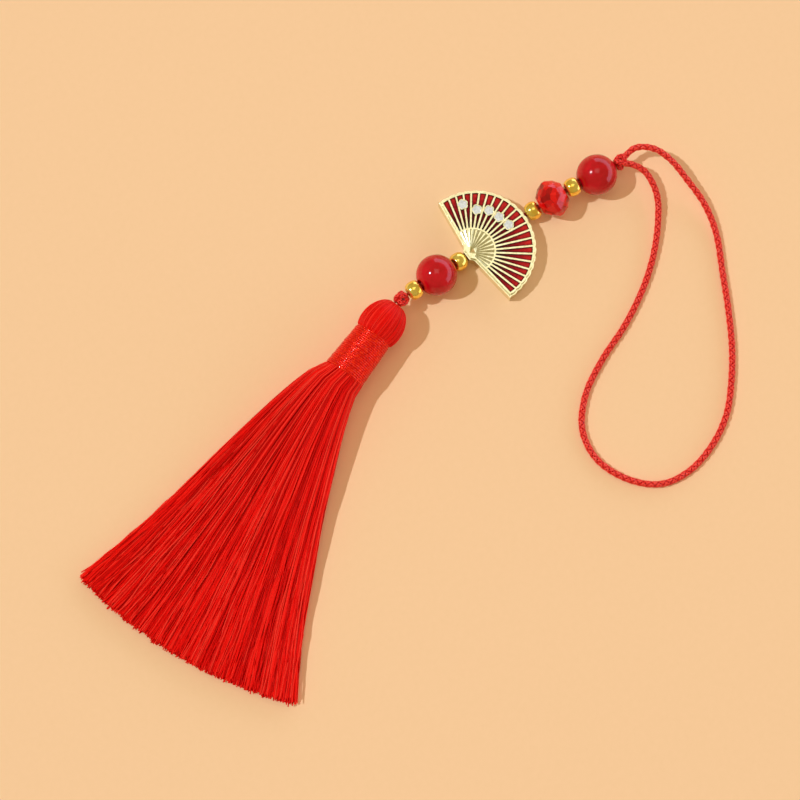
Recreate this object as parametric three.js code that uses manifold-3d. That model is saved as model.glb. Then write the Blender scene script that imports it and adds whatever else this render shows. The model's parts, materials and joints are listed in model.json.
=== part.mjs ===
import * as THREE from 'three';
import * as BufferGeometryUtils from 'three/addons/utils/BufferGeometryUtils.js';
import Module from 'manifold-3d';

// Tassel pendant with an enamelled fan charm, lying on a table. Millimetres, +Z up.
// Origin: on the table under the fan charm. +X runs along the bead string to the hanging loop.

const DEG = Math.PI / 180;

// Fan charm, in its own turned frame: back face on z = 0, symmetric about the X axis.
// The ribs all point at FAN_CENTRE_X; the rim and the plain inner sector are circles about points further out
const FAN_YAW = 3.5 * DEG;
const FAN_CENTRE_X = -5.76;
const RIM_CENTRE_X = -4.45;
const SECTOR_CENTRE_X = -5.26;
const FAN_PIVOT_X = -6.7;
const FAN_SHOULDER_X = -6.05;
const FAN_SHOULDER_Y = 1.7;
const FAN_RIM_R = 11.5;
const FAN_RIM_STEP_R = 11.15;
const FAN_STEP_INSET = 0.3;
const FAN_EDGE_ANGLE = 85.5 * DEG;
const FAN_FLANGE_Z = 2.75;
const FAN_TOP_Z = 3.5;
const SCALLOP_DEPTH = 0.18;
const SCALLOP_STEPS = 3;
const CELL_COUNT = 22;
const CELL_SPAN = 83.2 * DEG;
const CELL_INNER_R = 4.45;
const CELL_OUTER_R = 10.75;
const RIB_WIDTH = 0.33;
const CELL_FLOOR_Z = 3.0;
const ENAMEL_TOP_Z = 3.34;
const ENAMEL_GAP = 0.02;
const SECTOR_R = 4.15;
const SECTOR_FLOOR_Z = 3.34;
const STICK_COUNT = 15;
const STICK_SPAN = 78 * DEG;
const STICK_R = 0.3;
const STICK_FLATNESS = 0.55;
const STICK_START = 1.1;
const BORE_R = 0.95;
const BORE_Z = 1.75;
const BOSS_LENGTH = 2.6;
const BOSS_WIDTH = 1.9;
const BOSS_HEIGHT = 1.1;
const BOSS_BASE_Z = 3.2;

// Blossoms: place counted in cells (a half lies on the rib between two), and distance from where the ribs meet
const BLOSSOMS = [
  { cell: 3.2, radius: 9.4 },
  { cell: 5.5, radius: 8.35 },
  { cell: 7.5, radius: 8.85 },
  { cell: 9.5, radius: 8.75 },
  { cell: 11.5, radius: 9.0 },
];
const BLOSSOM_REACH = 0.6;
const PETAL_COUNT = 5;
const PETAL_OFFSET = 0.5;
const PETAL_R = 0.42;
const PETAL_JOIN = 0.02;
const BLOSSOM_LINE = 0.14;
const BLOSSOM_FLOOR_Z = 3.1;
const BLOSSOM_TOP_Z = 3.56;
const BLOSSOM_FILL_Z = 3.5;

// Core cord and beads
const CORD_R = 0.5;
const CORD_SIDES = 8;
const CORD_STEPS = 26;
const BEND_GAP = 0.25;
const SPACER_R = 1.8;
const SPACER_LENGTH = 2.6;
const SPACER_FACE_R = 1.08;
const SPACER_BULGE = 2.1;
const BEAD_R = 3.9;
const BEAD_STEPS = 12;
const CRYSTAL_R = 3.75;
const CRYSTAL_LENGTH = 5.2;
const CRYSTAL_FACE_R = 1.55;
const CRYSTAL_SHOULDER_X = 1.75;
const CRYSTAL_SHOULDER_R = 2.5;
const CRYSTAL_GIRDLE_X = 0.35;
const CRYSTAL_SIDES = 16;
const ROUND_SEGMENTS = 20;

// Upper string: yaw, and its cord's route as [distance along the string, height]
const UPPER_YAW = -4.0 * DEG;
const UPPER_ROUTE = [
  [0, 1.75], [1.0, 1.84], [1.95, 2.12], [3.35, 2.78], [6.15, 3.66], [8.9, 4.26],
  [10.3, 4.4], [11.7, 4.36], [15.75, 4.02], [19.45, 3.75],
];
const UPPER_PIECES = {
  spacer_bead_2: [1.95, 2.12, 17],
  crystal_bead: [6.1, 3.8, 14],
  spacer_bead_1: [10.4, 4.4, 6],
  upper_red_bead: [15.75, 3.93, -4],
};
const TOP_KNOT = [21.1, 3.75];
const KNOT_R = 1.45;

// Lower string: yaw, and its cord's route
const LOWER_YAW = 183.0 * DEG;
const LOWER_ROUTE = [
  [0, 1.75], [0.6, 1.84], [1.55, 2.12], [3.0, 2.76], [6.75, 3.84], [10.5, 4.42],
  [11.95, 4.4], [13.15, 4.4],
];
const LOWER_PIECES = {
  spacer_bead_3: [1.55, 2.12, 17],
  lower_red_bead: [6.75, 3.93, 12.5],
  spacer_bead_4: [11.95, 4.4, 2],
};
const TASSEL_KNOT = [14.85, 4.4];
const TASSEL_KNOT_R = 1.5;

// Tassel, along its own axis from the tassel knot's centre
const TASSEL_YAW = 200.8 * DEG;
const NECK_R = 0.6;
const NECK_START = 1.8;
const NECK_END = 5.2;
const NECK_BORE_R = 0.9;
const HEAD_START = 1.75;
const HEAD_LENGTH = 6.75;
const HEAD_R = 4.35;
const HEAD_STEPS = 8;
const HEAD_TOP_R = 1.3;
const HEAD_DRAW_IN = 1.42;
const HEAD_TOP_SHARE = 0.015;
const BUNDLE_R = 2.9;
const WRAP_START = 8.55;
const WRAP_END = 18.3;
const WRAP_INNER_R = 3.2;
const WRAP_R0 = 3.75;
const WRAP_R1 = 4.15;

// Skirt of threads, along its own axis from the wrap's mouth
const SKIRT_YAW = 6.3 * DEG;
const SKIRT_START = 0.8;
const SKIRT_LENGTH = 59.2;
const SKIRT_MOUTH_HALF = 4.1;
const SKIRT_END_HALF = 23.5;
const SKIRT_BEND = 1.3;
const SKIRT_WAIST = 1.1;
const SKIRT_MOUTH_Z = 4.4;
const SKIRT_END_THICKNESS = 2.2;
const LOCK_COUNT = 7;
const LOCK_GAP = 0.3;
const LOCK_STATIONS = 7;

// Hanging loop
const LOOP_R = 0.65;
const LOOP_STEPS = 76;
const LOOP_ROUTE = [
  [29.5, -0.4, 3.72], [31.6, -0.2, 4.1], [33.4, -1.15, 4.4], [35.1, -3.0, 4.3], [36.4, -6.3, 3.6],
  [37.0, -10.6, 2.7], [37.4, -15.4, 1.8], [37.0, -19.2, 1.2], [35.9, -23.0, 0.8], [33.2, -28.7, 0.68],
  [29.9, -35.6, 0.68], [26.4, -42.0, 0.68], [22.6, -47.4, 0.68], [18.2, -52.2, 0.68], [12.6, -55.6, 0.68],
  [6.2, -57.3, 0.68], [0.6, -56.5, 0.68], [-4.2, -52.4, 0.68], [-7.0, -46.2, 0.68], [-6.3, -40.2, 0.68],
  [-2.3, -35.0, 0.68], [4.0, -31.0, 0.68], [11.8, -27.5, 0.68], [18.6, -23.4, 0.72], [24.0, -18.9, 0.9],
  [28.2, -14.0, 1.3], [30.5, -10.2, 1.8], [31.2, -6.9, 2.4], [30.8, -4.3, 3.1], [29.2, -2.2, 3.72],
];

const wasm = await Module();
wasm.setup();

const MATERIALS = {
  paleGold: { color: 0xe1dca5, roughness: 0.28, metalness: 1.0 },
  brightGold: { color: 0xfac83c, roughness: 0.16, metalness: 1.0 },
  enamel: { color: 0xa8101a, roughness: 0.12, metalness: 0.0 },
  blossom: { color: 0xe2e0dc, roughness: 0.25, metalness: 0.0 },
  glass: { color: 0xbe0a19, roughness: 0.05, metalness: 0.0 },
  crystal: { color: 0xc80f14, roughness: 0.02, metalness: 0.0 },
  cord: { color: 0xd7191e, roughness: 0.7, metalness: 0.0 },
  silk: { color: 0xe1140f, roughness: 0.5, metalness: 0.0 },
  wrapThread: { color: 0xeb1e0a, roughness: 0.4, metalness: 0.2 },
};

function place(name, geometry, look) {
  const mesh = new THREE.Mesh(geometry, new THREE.MeshStandardMaterial(MATERIALS[look]));
  mesh.name = name;
  return mesh;
}

function toSolid(geometry) {
  const bare = geometry.clone();
  bare.deleteAttribute('normal');
  bare.deleteAttribute('uv');
  const merged = BufferGeometryUtils.mergeVertices(bare, 1e-5);
  return new wasm.Manifold(new wasm.Mesh({
    numProp: 3,
    vertProperties: new Float32Array(merged.attributes.position.array),
    triVerts: new Uint32Array(merged.index.array),
  }));
}

function toGeometry(solid) {
  const mesh = solid.getMesh();
  const geometry = new THREE.BufferGeometry();
  geometry.setAttribute('position', new THREE.BufferAttribute(mesh.vertProperties, 3));
  geometry.setIndex(new THREE.BufferAttribute(mesh.triVerts, 1));
  geometry.computeVertexNormals();
  return geometry;
}

function slab(shape, z0, z1, segments) {
  const options = { depth: z1 - z0, bevelEnabled: false, curveSegments: segments };
  return new THREE.ExtrudeGeometry(shape, options).translate(0, 0, z0);
}

// A closed profile of [distance along X, radius] turned about the X axis
function turned(profile, segments) {
  const points = profile.map(([x, r]) => new THREE.Vector2(r, x));
  points.push(points[0].clone());
  return new THREE.LatheGeometry(points, segments).rotateZ(-Math.PI / 2);
}

function polar(radius, angle) {
  return new THREE.Vector2(FAN_CENTRE_X + radius * Math.cos(angle), radius * Math.sin(angle));
}

// The point at that angle, seen from where the ribs meet, on a circle about another point of the X axis
function onCircle(centreX, radius, angle) {
  const shift = centreX - FAN_CENTRE_X;
  return polar(shift * Math.cos(angle) + Math.sqrt(radius ** 2 - (shift * Math.sin(angle)) ** 2), angle);
}

function arcPoints(edge, from, to, steps) {
  return Array.from({ length: steps + 1 }, (_, i) => edge(from + (to - from) * i / steps));
}

function distanceAt(edge, angle) {
  return edge(angle).sub(polar(0, 0)).length();
}

// Fan outline with one shallow scallop for each cell, closed by two straight edges to the pivot
function fanOutline(radius, inset) {
  const pitch = 2 * CELL_SPAN / CELL_COUNT;
  const steps = CELL_COUNT * SCALLOP_STEPS;
  const side = (sign) => [
    new THREE.Vector2(FAN_PIVOT_X + inset, sign * BORE_R),
    new THREE.Vector2(FAN_SHOULDER_X + inset, sign * FAN_SHOULDER_Y),
    onCircle(RIM_CENTRE_X, radius, sign * FAN_EDGE_ANGLE).add(new THREE.Vector2(inset, 0)),
  ];
  const rim = (angle) => {
    const wave = Math.abs(Math.sin(Math.PI * (angle + CELL_SPAN) / pitch));
    return onCircle(RIM_CENTRE_X, radius - SCALLOP_DEPTH * (1 - wave), angle);
  };
  return new THREE.Shape([...side(-1), ...arcPoints(rim, -CELL_SPAN, CELL_SPAN, steps), ...side(1).reverse()]);
}

function cellAngle(number) {
  return CELL_SPAN - (number - 0.5) * 2 * CELL_SPAN / CELL_COUNT;
}

// One wedge between two ribs, whose sides stay half a rib away from the rib's own radial line
function cellShape(number, inner, outer, gap) {
  const half = CELL_SPAN / CELL_COUNT;
  const middle = cellAngle(number);
  const side = RIB_WIDTH / 2 + gap;
  const innerHalf = half - Math.asin(side / distanceAt(inner, middle));
  const outerHalf = half - Math.asin(side / distanceAt(outer, middle));
  return new THREE.Shape([
    ...arcPoints(outer, middle - outerHalf, middle + outerHalf, 3),
    ...arcPoints(inner, middle + innerHalf, middle - innerHalf, 1),
  ]);
}

function cellInner(gap) {
  return (angle) => onCircle(SECTOR_CENTRE_X, CELL_INNER_R + gap, angle);
}

function cellOuter(gap) {
  return (angle) => onCircle(RIM_CENTRE_X, CELL_OUTER_R - gap, angle);
}

function blossomShape(blossom, grow) {
  const centre = polar(blossom.radius, cellAngle(blossom.cell));
  const petalStep = 2 * Math.PI / PETAL_COUNT;
  const points = [];
  const petalR = PETAL_R + grow;
  const reach = Math.asin(PETAL_OFFSET * Math.sin(petalStep / 2) / petalR);
  for (let petal = 0; petal < PETAL_COUNT; petal += 1) {
    const direction = petal * petalStep;
    const cx = centre.x + PETAL_OFFSET * Math.cos(direction);
    const cy = centre.y + PETAL_OFFSET * Math.sin(direction);
    const sweep = petalStep / 2 + reach - PETAL_JOIN;
    for (let i = 0; i <= 5; i += 1) {
      const angle = direction - sweep + 2 * sweep * i / 5;
      points.push(new THREE.Vector2(cx + petalR * Math.cos(angle), cy + petalR * Math.sin(angle)));
    }
  }
  return new THREE.Shape(points);
}

function stick(index) {
  const angle = -STICK_SPAN + 2 * STICK_SPAN * index / (STICK_COUNT - 1);
  const reach = distanceAt((turn) => onCircle(SECTOR_CENTRE_X, SECTOR_R, turn), angle);
  const length = reach - STICK_START;
  const bar = new THREE.CylinderGeometry(STICK_R, STICK_R * 0.45, length, 6);
  bar.rotateZ(-Math.PI / 2).translate(STICK_START + length / 2, 0, 0);
  const end = new THREE.SphereGeometry(STICK_R, 6, 4).translate(reach, 0, 0);
  const solid = toSolid(bar).add(toSolid(end));
  const geometry = toGeometry(solid).scale(1, 1, STICK_FLATNESS);
  geometry.rotateZ(angle).translate(FAN_CENTRE_X, 0, SECTOR_FLOOR_Z);
  return toSolid(geometry);
}

// Four-sided pointed boss over the pivot
function pivotBoss() {
  const boss = new THREE.ConeGeometry(BOSS_WIDTH / 2, BOSS_HEIGHT, 4);
  boss.rotateX(Math.PI / 2).scale(BOSS_LENGTH / BOSS_WIDTH, 1, 1);
  return boss.translate(FAN_PIVOT_X + FAN_STEP_INSET + BOSS_LENGTH / 2, 0, BOSS_BASE_Z + BOSS_HEIGHT / 2);
}

function sectorWell() {
  const arc = arcPoints((angle) => onCircle(SECTOR_CENTRE_X, SECTOR_R, angle), -CELL_SPAN, CELL_SPAN, 18);
  return new THREE.Shape([polar(0.9, -CELL_SPAN), ...arc, polar(0.9, CELL_SPAN)]);
}

function fanFrame() {
  let frame = toSolid(slab(fanOutline(FAN_RIM_R, 0), 0, FAN_FLANGE_Z));
  frame = frame.add(toSolid(slab(fanOutline(FAN_RIM_STEP_R, FAN_STEP_INSET), FAN_FLANGE_Z - 0.5, FAN_TOP_Z)));
  frame = frame.subtract(toSolid(slab(sectorWell(), SECTOR_FLOOR_Z, FAN_TOP_Z + 1)));
  for (let number = 1; number <= CELL_COUNT; number += 1) {
    const pocket = cellShape(number, cellInner(0), cellOuter(0), 0);
    frame = frame.subtract(toSolid(slab(pocket, CELL_FLOOR_Z, FAN_TOP_Z + 1)));
  }
  for (let index = 0; index < STICK_COUNT; index += 1) {
    frame = frame.add(stick(index));
  }
  frame = frame.add(toSolid(pivotBoss()));
  for (const blossom of BLOSSOMS) {
    frame = frame.add(toSolid(slab(blossomShape(blossom, BLOSSOM_LINE), CELL_FLOOR_Z - 0.1, BLOSSOM_TOP_Z)));
    frame = frame.subtract(toSolid(slab(blossomShape(blossom, 0), BLOSSOM_FLOOR_Z, FAN_TOP_Z + 1)));
  }
  const bore = new THREE.CylinderGeometry(BORE_R, BORE_R, 3 * FAN_RIM_R, ROUND_SEGMENTS);
  bore.rotateZ(Math.PI / 2).translate(0, 0, BORE_Z);
  return toGeometry(frame.subtract(toSolid(bore)));
}

function enamel(name, number, inner, outer) {
  const floor = CELL_FLOOR_Z + ENAMEL_GAP;
  let solid = toSolid(slab(cellShape(number, inner, outer, ENAMEL_GAP), floor, ENAMEL_TOP_Z));
  for (const blossom of BLOSSOMS) {
    const keepOut = slab(blossomShape(blossom, BLOSSOM_LINE + ENAMEL_GAP), 0, 2 * FAN_TOP_Z);
    solid = solid.subtract(toSolid(keepOut));
  }
  return place(name, toGeometry(solid), 'enamel');
}

// One piece of enamel for each cell, or two where a blossom crosses it
function enamelCells() {
  const cells = [];
  for (let number = 1; number <= CELL_COUNT; number += 1) {
    const name = `enamel_${String(number).padStart(2, '0')}`;
    const blossom = BLOSSOMS.find((item) => Math.abs(item.cell - number) < BLOSSOM_REACH);
    if (blossom) {
      const below = (angle) => polar(blossom.radius - PETAL_OFFSET, angle);
      const above = (angle) => polar(blossom.radius + PETAL_OFFSET, angle);
      cells.push(enamel(`${name}_inner`, number, cellInner(ENAMEL_GAP), below));
      cells.push(enamel(`${name}_outer`, number, above, cellOuter(ENAMEL_GAP)));
    } else {
      cells.push(enamel(name, number, cellInner(ENAMEL_GAP), cellOuter(ENAMEL_GAP)));
    }
  }
  return cells;
}

function cordTube(route, radius, steps) {
  const curve = new THREE.CatmullRomCurve3(route, false, 'centripetal');
  const section = new THREE.Shape(Array.from({ length: CORD_SIDES }, (_, i) => new THREE.Vector2(
    radius * Math.cos(2 * Math.PI * i / CORD_SIDES),
    radius * Math.sin(2 * Math.PI * i / CORD_SIDES),
  )));
  return new THREE.ExtrudeGeometry(section, { steps, bevelEnabled: false, extrudePath: curve });
}

function fanCharm() {
  const group = new THREE.Group();
  group.rotation.z = FAN_YAW;
  group.add(place('fan_frame', fanFrame(), 'paleGold'));
  group.add(...enamelCells());
  BLOSSOMS.forEach((blossom, index) => {
    const fill = slab(blossomShape(blossom, -ENAMEL_GAP), BLOSSOM_FLOOR_Z + ENAMEL_GAP, BLOSSOM_FILL_Z);
    group.add(place(`blossom_${index + 1}`, fill, 'blossom'));
  });
  const reach = -FAN_PIVOT_X - 0.1;
  const core = cordTube([-1, 0, 1].map((t) => new THREE.Vector3(t * reach, 0, BORE_Z)), CORD_R, 2);
  group.add(place('string_cord_middle', core, 'cord'));
  return group;
}

// Barrel profile from one end face to the other, closed through the bore
function barrelProfile(radius, length, faceR, bulge, steps) {
  const profile = [[-length / 2, BORE_R]];
  for (let i = 0; i <= steps; i += 1) {
    const t = -1 + 2 * i / steps;
    const r = faceR + (radius - faceR) * (1 - Math.abs(t) ** bulge) ** (1 / bulge);
    profile.push([length / 2 * t, r]);
  }
  profile.push([length / 2, BORE_R]);
  return profile;
}

function spacerBead() {
  return turned(barrelProfile(SPACER_R, SPACER_LENGTH, SPACER_FACE_R, SPACER_BULGE, 8), ROUND_SEGMENTS);
}

function redBead() {
  const mouth = Math.asin(BORE_R / BEAD_R);
  const profile = [];
  for (let i = 0; i <= BEAD_STEPS; i += 1) {
    const angle = Math.PI - mouth + (2 * mouth - Math.PI) * i / BEAD_STEPS;
    profile.push([BEAD_R * Math.cos(angle), BEAD_R * Math.sin(angle)]);
  }
  return turned(profile, ROUND_SEGMENTS + 4);
}

function crystalBead() {
  const half = CRYSTAL_LENGTH / 2;
  const profile = [[-half, BORE_R], [-half, CRYSTAL_FACE_R], [-CRYSTAL_SHOULDER_X, CRYSTAL_SHOULDER_R],
    [-CRYSTAL_GIRDLE_X, CRYSTAL_R], [CRYSTAL_GIRDLE_X, CRYSTAL_R], [CRYSTAL_SHOULDER_X, CRYSTAL_SHOULDER_R],
    [half, CRYSTAL_FACE_R], [half, BORE_R]];
  return turned(profile, CRYSTAL_SIDES);
}

function knotBall(radius) {
  return new THREE.SphereGeometry(radius, 14, 10);
}

function beadShape(name) {
  if (name.startsWith('spacer')) return [spacerBead(), 'brightGold'];
  if (name.startsWith('crystal')) return [crystalBead(), 'crystal'];
  return [redBead(), 'glass'];
}

// A string group starts at the bend point just outside the fan, with +X running away from the fan
function stringGroup(side, yaw, route, pieces, cordName, knotName, knot, knotR) {
  const group = new THREE.Group();
  const reach = side * (-FAN_PIVOT_X + BEND_GAP);
  group.position.set(reach * Math.cos(FAN_YAW), reach * Math.sin(FAN_YAW), 0);
  group.rotation.z = yaw;
  const points = route.map(([x, z]) => new THREE.Vector3(x, 0, z));
  group.add(place(cordName, cordTube(points, CORD_R, CORD_STEPS), 'cord'));
  for (const [name, [x, z, tilt]] of Object.entries(pieces)) {
    const [geometry, look] = beadShape(name);
    const bead = place(name, geometry, look);
    bead.position.set(x, 0, z);
    bead.rotation.y = -tilt * DEG;
    group.add(bead);
  }
  const ball = place(knotName, knotBall(knotR), 'cord');
  ball.position.set(knot[0], 0, knot[1]);
  group.add(ball);
  return group;
}

function tasselHead() {
  const profile = [[NECK_END + 0.3, 0], [NECK_END + 0.3, NECK_BORE_R], [HEAD_START, NECK_BORE_R]];
  for (let i = 0; i <= HEAD_STEPS; i += 1) {
    const t = i / HEAD_STEPS;
    const swell = Math.sin(Math.PI * (t / HEAD_DRAW_IN + HEAD_TOP_SHARE)) ** 0.5;
    profile.push([HEAD_START + HEAD_LENGTH * t, HEAD_TOP_R + (HEAD_R - HEAD_TOP_R) * swell]);
  }
  profile.push([HEAD_START + HEAD_LENGTH, BUNDLE_R], [WRAP_END - 0.2, BUNDLE_R], [WRAP_END - 0.2, 0]);
  return turned(profile, ROUND_SEGMENTS);
}

function tasselWrap() {
  const profile = [[WRAP_START + 0.3, WRAP_INNER_R]];
  const rows = 6;
  profile.push([WRAP_START + 0.3, WRAP_R0 - 0.2]);
  for (let i = 0; i <= rows; i += 1) {
    const x = WRAP_START + 0.5 + (WRAP_END - WRAP_START - 0.7) * i / rows;
    profile.push([x, WRAP_R0 + (WRAP_R1 - WRAP_R0) * i / rows]);
  }
  profile.push([WRAP_END, WRAP_R1 - 0.2], [WRAP_END, WRAP_INNER_R]);
  return turned(profile, ROUND_SEGMENTS);
}

// Half-width and height of the spread threads: a round bundle at the mouth, a flat fan at the end
function skirtSection(t) {
  const waist = SKIRT_WAIST * Math.sin(Math.PI * t);
  const halfWidth = SKIRT_MOUTH_HALF + (SKIRT_END_HALF - SKIRT_MOUTH_HALF) * t - waist;
  const fall = (1 - t) ** 2;
  const top = SKIRT_END_THICKNESS + (SKIRT_MOUTH_Z + SKIRT_MOUTH_HALF - SKIRT_END_THICKNESS) * fall;
  const bottom = 0.05 + (SKIRT_MOUTH_Z - SKIRT_MOUTH_HALF - 0.05) * fall;
  return { halfWidth, top, bottom, roundness: 2 + 3 * t };
}

function lockRing(lock, t) {
  const { halfWidth, top, bottom, roundness } = skirtSection(t);
  const middle = (top + bottom) / 2;
  const edges = [lock, lock + 0.5, lock + 1].map((k) => -1 + 2 * k / LOCK_COUNT);
  const gaps = [LOCK_GAP / 2, 0, -LOCK_GAP / 2];
  const columns = edges.map((u, i) => {
    const bend = Math.min(Math.abs(u), 0.94);
    const rise = (top - bottom) / 2 * (1 - bend ** roundness) ** (1 / roundness);
    const bow = -SKIRT_BEND * Math.sin(Math.PI * t ** 0.8);
    return { y: u * halfWidth + gaps[i] + bow, rise, u };
  });
  // Every thread is equally long, so the cut end curves back towards the two sides
  const point = (column, sign) => new THREE.Vector3(
    SKIRT_START + Math.sqrt((SKIRT_LENGTH * t) ** 2 - (column.u * (halfWidth - SKIRT_MOUTH_HALF)) ** 2),
    column.y, middle + sign * column.rise,
  );
  return [...columns.map((c) => point(c, -1)), ...columns.reverse().map((c) => point(c, 1))];
}

// A closed solid through rings of equal size
function loft(rings) {
  const size = rings[0].length;
  const positions = rings.flat().flatMap((p) => [p.x, p.y, p.z]);
  const index = [];
  for (let ring = 0; ring < rings.length - 1; ring += 1) {
    for (let i = 0; i < size; i += 1) {
      const a = ring * size + i;
      const b = ring * size + (i + 1) % size;
      index.push(a, b, a + size, b, b + size, a + size);
    }
  }
  const last = (rings.length - 1) * size;
  for (let i = 1; i < size - 1; i += 1) {
    index.push(0, i + 1, i, last, last + i, last + i + 1);
  }
  const geometry = new THREE.BufferGeometry();
  geometry.setAttribute('position', new THREE.Float32BufferAttribute(positions, 3));
  geometry.setIndex(index);
  geometry.computeVertexNormals();
  return geometry;
}

function skirtLock(lock) {
  const rings = Array.from({ length: LOCK_STATIONS }, (_, i) => lockRing(lock, i / (LOCK_STATIONS - 1)));
  return loft(rings);
}

function tassel() {
  const group = new THREE.Group();
  const reach = FAN_PIVOT_X - BEND_GAP;
  const x = reach * Math.cos(FAN_YAW) + TASSEL_KNOT[0] * Math.cos(LOWER_YAW);
  const y = reach * Math.sin(FAN_YAW) + TASSEL_KNOT[0] * Math.sin(LOWER_YAW);
  group.position.set(x, y, 0);
  group.rotation.z = TASSEL_YAW;
  const lift = (mesh) => {
    mesh.position.z = TASSEL_KNOT[1];
    return mesh;
  };
  const neck = turned([[NECK_START, 0], [NECK_START, NECK_R], [NECK_END, NECK_R], [NECK_END, 0]], 12);
  group.add(lift(place('tassel_neck_cord', neck, 'cord')));
  group.add(lift(place('tassel_head', tasselHead(), 'silk')));
  group.add(lift(place('tassel_wrap', tasselWrap(), 'wrapThread')));
  const skirt = new THREE.Group();
  skirt.position.x = WRAP_END;
  skirt.rotation.z = SKIRT_YAW;
  for (let lock = 0; lock < LOCK_COUNT; lock += 1) {
    skirt.add(place(`skirt_lock_${lock + 1}`, skirtLock(lock), 'silk'));
  }
  group.add(skirt);
  return group;
}

const pendant = new THREE.Group();
pendant.add(fanCharm());
pendant.add(stringGroup(1, UPPER_YAW, UPPER_ROUTE, UPPER_PIECES, 'string_cord_upper', 'top_knot',
  TOP_KNOT, KNOT_R));
pendant.add(stringGroup(-1, LOWER_YAW, LOWER_ROUTE, LOWER_PIECES, 'string_cord_lower', 'tassel_knot',
  TASSEL_KNOT, TASSEL_KNOT_R));
pendant.add(tassel());
const loopRoute = LOOP_ROUTE.map(([x, y, z]) => new THREE.Vector3(x, y, z));
pendant.add(place('hanging_loop', cordTube(loopRoute, LOOP_R, LOOP_STEPS), 'cord'));

export default pendant;
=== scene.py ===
import json
import math

import bmesh
import bpy
import numpy as np
from mathutils import Matrix, Vector
from mathutils.kdtree import KDTree


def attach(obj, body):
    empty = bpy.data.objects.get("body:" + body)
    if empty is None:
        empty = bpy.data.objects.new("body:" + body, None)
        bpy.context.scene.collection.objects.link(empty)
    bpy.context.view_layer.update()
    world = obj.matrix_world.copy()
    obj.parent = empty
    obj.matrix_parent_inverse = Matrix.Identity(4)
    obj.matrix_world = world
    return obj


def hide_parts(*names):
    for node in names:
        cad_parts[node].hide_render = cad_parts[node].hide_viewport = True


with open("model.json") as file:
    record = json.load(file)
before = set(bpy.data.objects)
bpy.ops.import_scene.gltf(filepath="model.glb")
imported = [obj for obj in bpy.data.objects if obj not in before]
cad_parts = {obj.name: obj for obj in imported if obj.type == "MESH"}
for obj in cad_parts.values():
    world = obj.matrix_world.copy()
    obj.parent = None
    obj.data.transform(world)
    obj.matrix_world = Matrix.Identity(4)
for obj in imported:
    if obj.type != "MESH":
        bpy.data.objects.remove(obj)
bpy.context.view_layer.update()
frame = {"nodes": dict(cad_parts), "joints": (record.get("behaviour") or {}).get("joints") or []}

MM = 0.001
JOINTS = {joint["name"]: joint for joint in frame["joints"]}
random = np.random.default_rng(22)
NOISE_ROUGHNESS = 0.55

# Camera: looks down at the middle of the pendant, a little off the vertical
VIEW_CENTRE = Vector((-32.0, -16.7, 0.0)) * MM
VIEW_RIGHT = Vector((0.8434, -0.5373, 0.0))
VIEW_UP = Vector((0.5373, 0.8434, 0.0))
VIEW_WIDTH = 151.0 * MM
VIEW_ELEVATION = math.radians(80)
LENS_MM = 90
SENSOR_MM = 36
CLIP_RANGE = (0.01, 5.0)

# Light and table: one sun, one overhead panel, and a room with a low pale wall
SUN_POWER = 1.9
SUN_SPREAD = math.radians(1.6)
SUN_ELEVATION = math.radians(52)
SUN_COLOUR = (0.72, 0.88, 1.0)
PANEL_SHIFT = 0.1
PANEL_HEIGHT = 0.55
PANEL_SIZE = 0.24
PANEL_POWER = 0.21
PANEL_COLOUR = (1.0, 0.95, 0.86)
ROOM_STRENGTH = 2.2
ROOM_STOPS = [(0.0, "6c624a"), (0.45, "7c7356"), (1.0, "7c7356")]
WALL_COLOUR = "e8ecff"
WALL_TURN = math.radians(33)
WALL_EDGE = (0.36, 0.42)
WALL_TOP = (0.48, 0.42)
FLOOR_HALF = 1.5

# Hanging loop
LOOP_DIAMETER = 1.3 * MM
LOOP_ROUTE = [
    (28.3, -0.75, 3.72), (29.5, -0.4, 3.72), (31.6, -0.2, 4.1), (33.4, -1.15, 4.4), (35.1, -3.0, 4.3),
    (36.4, -6.3, 3.6),
    (37.0, -10.6, 2.7), (37.4, -15.4, 1.8), (37.0, -19.2, 1.2), (35.9, -23.0, 0.8), (33.2, -28.7, 0.68),
    (29.9, -35.6, 0.68), (26.4, -42.0, 0.68), (22.6, -47.4, 0.68), (18.2, -52.2, 0.68), (12.6, -55.6, 0.68),
    (6.2, -57.3, 0.68), (0.6, -56.5, 0.68), (-4.2, -52.4, 0.68), (-7.0, -46.2, 0.68), (-6.3, -40.2, 0.68),
    (-2.3, -35.0, 0.68), (4.0, -31.0, 0.68), (11.8, -27.5, 0.68), (18.6, -23.4, 0.72), (24.0, -18.9, 0.9),
    (28.2, -14.0, 1.3), (30.5, -10.2, 1.8), (31.2, -6.9, 2.4), (30.8, -4.3, 3.1), (29.2, -2.2, 3.72),
    (28.2, -1.45, 3.72),
]
BRAID_STRANDS = 8
BRAID_PITCH = 2.9 * MM
BRAID_STEPS_A_TURN = 16
BRAID_STRAND_R = 0.22 * MM
BRAID_SWING = 0.15
LOOP_ROW_SPACING = 1.5 * MM

# Core cord between the beads, and the knots
CORE_R = 0.5 * MM
CORE_PLIES = 3
CORE_PITCH = 2.2 * MM
CORE_SPACING = 0.15 * MM
NECK_R = 0.6 * MM
UPPER_ROUTE = [
    (0, 1.75), (1.0, 1.84), (1.95, 2.12), (3.35, 2.78), (6.15, 3.66), (8.9, 4.26),
    (10.3, 4.4), (11.7, 4.36), (15.75, 4.02), (19.45, 3.75),
]
LOWER_ROUTE = [
    (0, 1.75), (0.6, 1.84), (1.55, 2.12), (3.0, 2.76), (6.75, 3.84), (10.5, 4.42),
    (11.95, 4.4), (13.15, 4.4),
]
MIDDLE_REACH = 6.6
NECK_ROUTE = [(1.75, 0.0), (5.2, 0.0)]

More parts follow.
